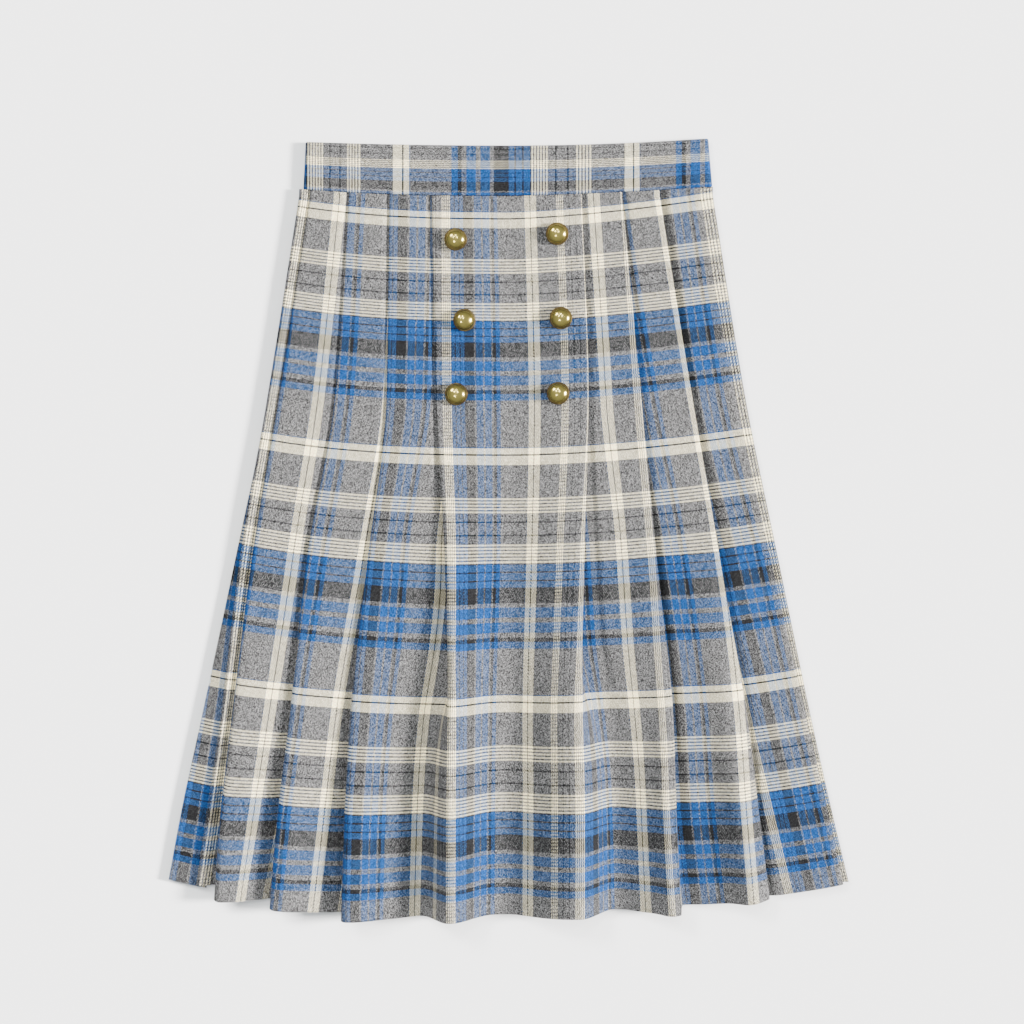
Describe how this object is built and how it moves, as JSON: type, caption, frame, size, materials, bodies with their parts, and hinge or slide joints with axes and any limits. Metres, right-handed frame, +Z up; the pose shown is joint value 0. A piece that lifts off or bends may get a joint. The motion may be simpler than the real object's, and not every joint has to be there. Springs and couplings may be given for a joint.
{
  "type": "pleated skirt",
  "caption": "A-line knife-pleated skirt in plaid twill with a narrow waistband and two columns of domed buttons, lying flat and front up",
  "frame": {"origin": "middle of the face that the skirt lies on, at the middle of its bounding box", "axes": "+Z up, away from the surface; +Y from hem to waist; +X to the viewer's right, seen from above"},
  "size_m": [0.5716, 0.6576, 0.0356],
  "materials": {
    "plaid_cloth": "woven 2/2 twill plaid, matte",
    "band_cloth": "the same plaid turned 90 degrees, doubled, matte",
    "antique_brass": "aged, satin"
  },
  "bodies": {
    "root": {"waistband": "band_cloth", "skirt_front_left": "plaid_cloth", "skirt_front_centre": "plaid_cloth", "skirt_front_right": "plaid_cloth", "skirt_back": "plaid_cloth", "button_left_1": "antique_brass", "button_left_2": "antique_brass", "button_left_3": "antique_brass", "button_right_1": "antique_brass", "button_right_2": "antique_brass", "button_right_3": "antique_brass"}
  },
  "joints": []
}
